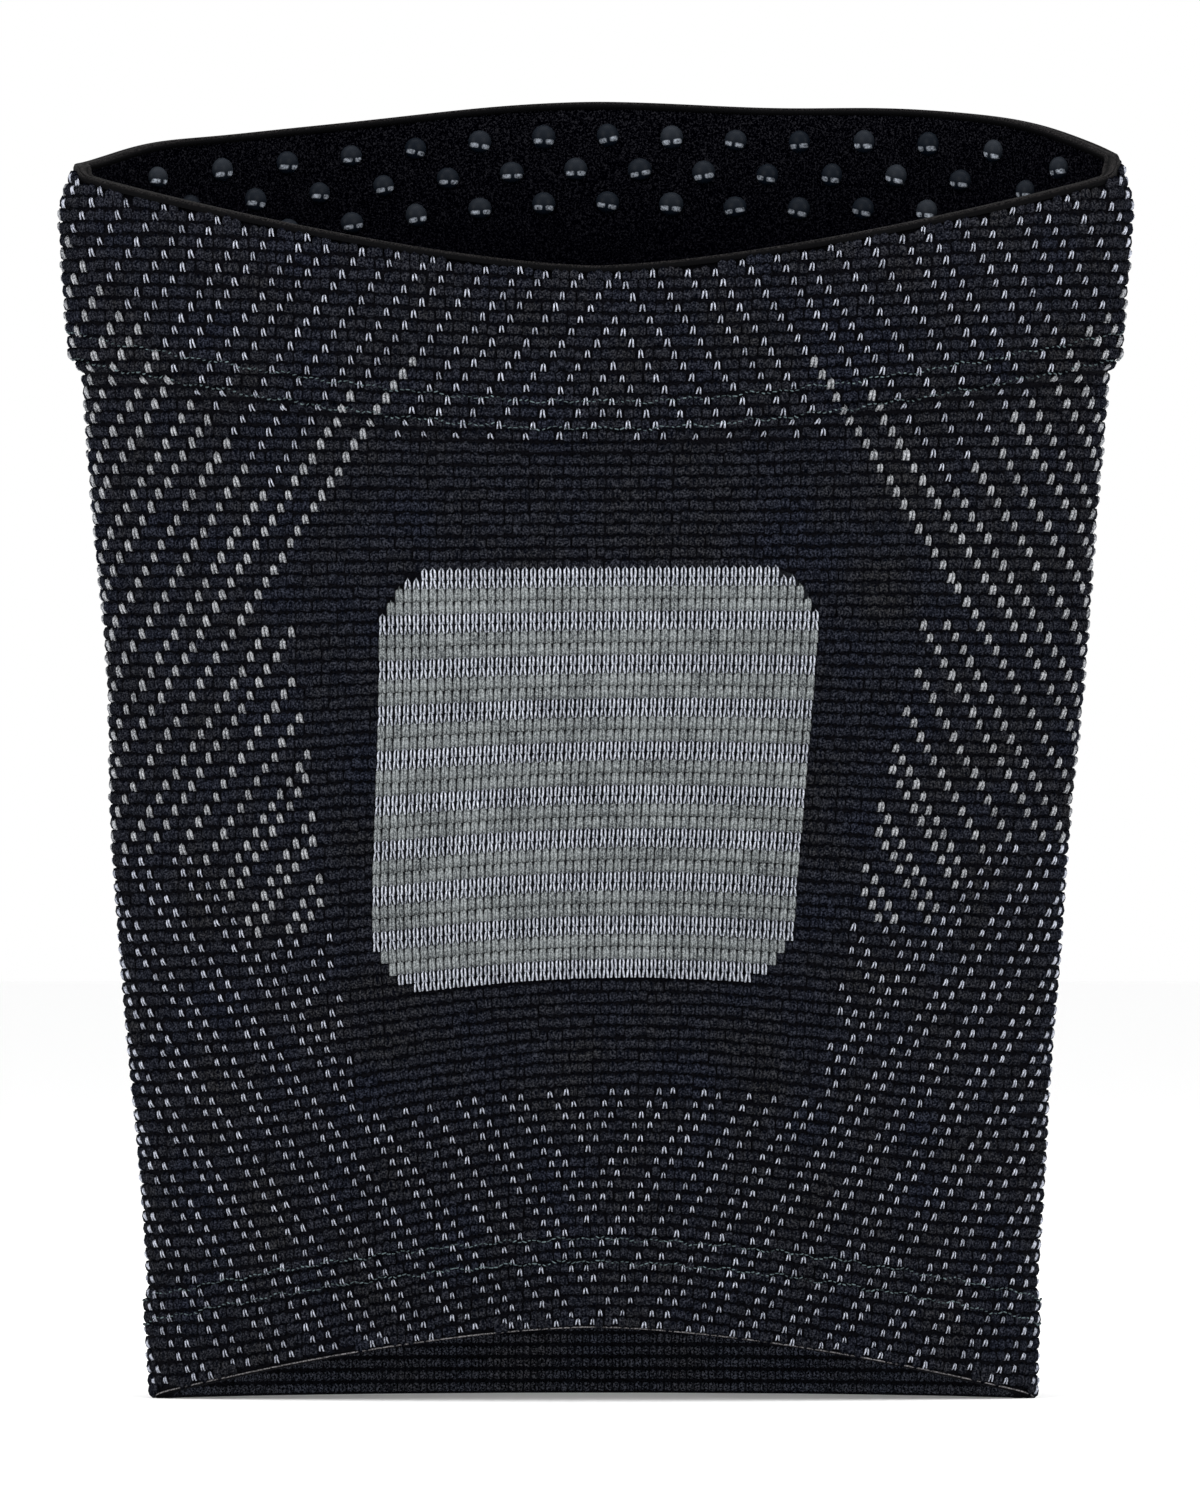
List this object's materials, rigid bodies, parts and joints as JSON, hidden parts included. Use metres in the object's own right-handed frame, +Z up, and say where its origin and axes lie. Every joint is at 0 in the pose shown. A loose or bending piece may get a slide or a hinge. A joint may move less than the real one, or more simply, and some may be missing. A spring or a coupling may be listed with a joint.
{
  "type": "knitted knee sleeve",
  "caption": "Elastic knitted knee sleeve, open at both ends, with a grey and white knit kneecap field, a turned lower hem and a top band gripped inside by silicone dots.",
  "frame": {"origin": "On the surface the sleeve stands on, below the middle of its box.", "axes": "+Z up along the sleeve, +X to the right as the kneecap side is looked at, +Y from the kneecap to the back."},
  "size_m": [0.2048, 0.0934, 0.2475],
  "materials": {
    "dark_knit": "matt ribbed knit, black with light pattern stitches",
    "kneecap_knit": "grey and white knit in bands",
    "inner_band": "brushed black cloth with translucent silicone dots",
    "satin_edging": "satin black edging",
    "inner_knit": "matt black ribbed knit"
  },
  "bodies": {
    "root": {"sleeve_knit": "dark_knit", "kneecap_panel": "kneecap_knit", "grip_band": "inner_band", "rim_edging": "satin_edging", "lower_hem": "inner_knit"}
  },
  "joints": []
}
